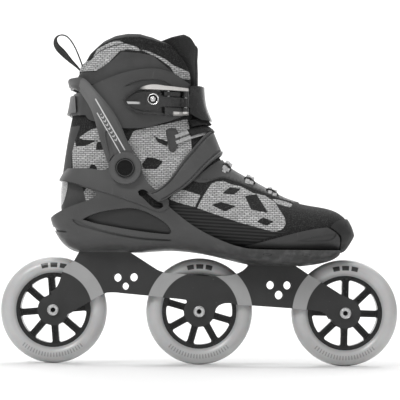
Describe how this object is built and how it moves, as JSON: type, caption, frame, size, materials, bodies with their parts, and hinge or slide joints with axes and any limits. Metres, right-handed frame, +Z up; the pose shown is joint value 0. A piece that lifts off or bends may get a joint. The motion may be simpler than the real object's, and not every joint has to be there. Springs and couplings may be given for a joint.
{
  "type": "inline skate",
  "caption": "Inline skate with a laced fabric boot in a hard shell, hinged ankle cuff with ratchet buckle, instep strap, black frame and three large pale wheels in line.",
  "frame": {"origin": "on the ground under the middle wheel, in the skate's middle plane", "axes": "+X to the toe, +Y to the inner side of a right skate, +Z up"},
  "size_m": [0.374, 0.1118, 0.312],
  "materials": {
    "frame_paint": "satin black paint with pale grey arcs at the wheels",
    "dark_steel": "dark zinc",
    "bright_steel": "bright",
    "bearing_steel": "polished",
    "shell_plastic": "satin grey",
    "dark_plastic": "satin",
    "arm_plastic": "satin",
    "black_plastic": "gloss",
    "band_plastic": "satin",
    "buckle_plastic": "semi-gloss",
    "boot_fabric": "woven mesh with pale patches",
    "tongue_fabric": "dark weave",
    "insole_foam": "foam with fabric top",
    "toe_rubber": "matt",
    "guard_plastic": "satin",
    "lace_fabric": "flat weave",
    "strap_leather": "smooth synthetic",
    "reflector": "reflective film",
    "tape_fabric": "narrow woven tape",
    "tyre_urethane": "matt polyurethane",
    "hub_plastic": "satin black"
  },
  "bodies": {
    "skate": {"frame": "frame_paint", "frame_bolts": "dark_steel", "frame_washers": "dark_steel", "frame_nuts": "dark_steel", "axle_bolts": "bright_steel", "axle_screws": "bright_steel", "bearing_inner_rings": "bearing_steel", "bearing_spacers": "bright_steel", "chassis": "shell_plastic", "window_inserts": "dark_plastic", "upper": "boot_fabric", "tongue_lower": "tongue_fabric", "insole": "insole_foam", "ankle_gusset": "boot_fabric", "toe_bumper": "toe_rubber", "toe_guards": "guard_plastic", "lace_bands": "lace_fabric", "instep_strap": "strap_leather", "heel_reflector": "reflector", "pivot_bolts": "black_plastic", "pivot_nuts": "bright_steel"},
    "cuff": {"cuff_yoke": "arm_plastic", "cuff_band": "band_plastic", "band_rivets": "bright_steel", "collar": "boot_fabric", "tongue_upper": "tongue_fabric", "pull_loop": "tape_fabric", "ladder_strap": "buckle_plastic", "ladder_rivet": "bright_steel", "buckle_base": "buckle_plastic", "buckle_rivet": "bright_steel", "buckle_pins": "bright_steel"},
    "lever": {"buckle_lever": "buckle_plastic", "lever_hub": "bright_steel"},
    "pawl": {"buckle_pawl": "buckle_plastic"},
    "wheel_rear": {"tyre_rear": "tyre_urethane", "hub_rear": "hub_plastic", "bearing_outer_rings_rear": "bearing_steel", "bearing_balls_rear": "bearing_steel"},
    "wheel_middle": {"tyre_middle": "tyre_urethane", "hub_middle": "hub_plastic", "bearing_outer_rings_middle": "bearing_steel", "bearing_balls_middle": "bearing_steel"},
    "wheel_front": {"tyre_front": "tyre_urethane", "hub_front": "hub_plastic", "bearing_outer_rings_front": "bearing_steel", "bearing_balls_front": "bearing_steel"}
  },
  "joints": [
    {"name": "rear_wheel_spin", "type": "hinge", "parent": "skate", "child": "wheel_rear", "pos_m": [-0.137, 0, 0.05], "axis": [0, 1, 0], "continuous": true},
    {"name": "middle_wheel_spin", "type": "hinge", "parent": "skate", "child": "wheel_middle", "pos_m": [0, 0, 0.05], "axis": [0, 1, 0], "continuous": true},
    {"name": "front_wheel_spin", "type": "hinge", "parent": "skate", "child": "wheel_front", "pos_m": [0.137, 0, 0.05], "axis": [0, 1, 0], "continuous": true},
    {"name": "cuff_hinge", "type": "hinge", "parent": "skate", "child": "cuff", "pos_m": [-0.07, 0, 0.182], "axis": [0, 1, 0], "range_deg": [-3, 5], "stiffness_Nm_per_rad": 25, "deforming": ["ankle_gusset"]},
    {"name": "buckle_lever_hinge", "type": "hinge", "parent": "cuff", "child": "lever", "pos_m": [-0.015, -0.03535, 0.2441], "axis": [0, 0, 1], "range_deg": [0, 90], "stiffness_Nm_per_rad": 0.01},
    {"name": "buckle_pawl_hinge", "type": "hinge", "parent": "cuff", "child": "pawl", "pos_m": [-0.031, -0.0451, 0.2515], "axis": [0, 0, 1], "range_deg": [-12, 0], "stiffness_Nm_per_rad": 0.05}
  ]
}
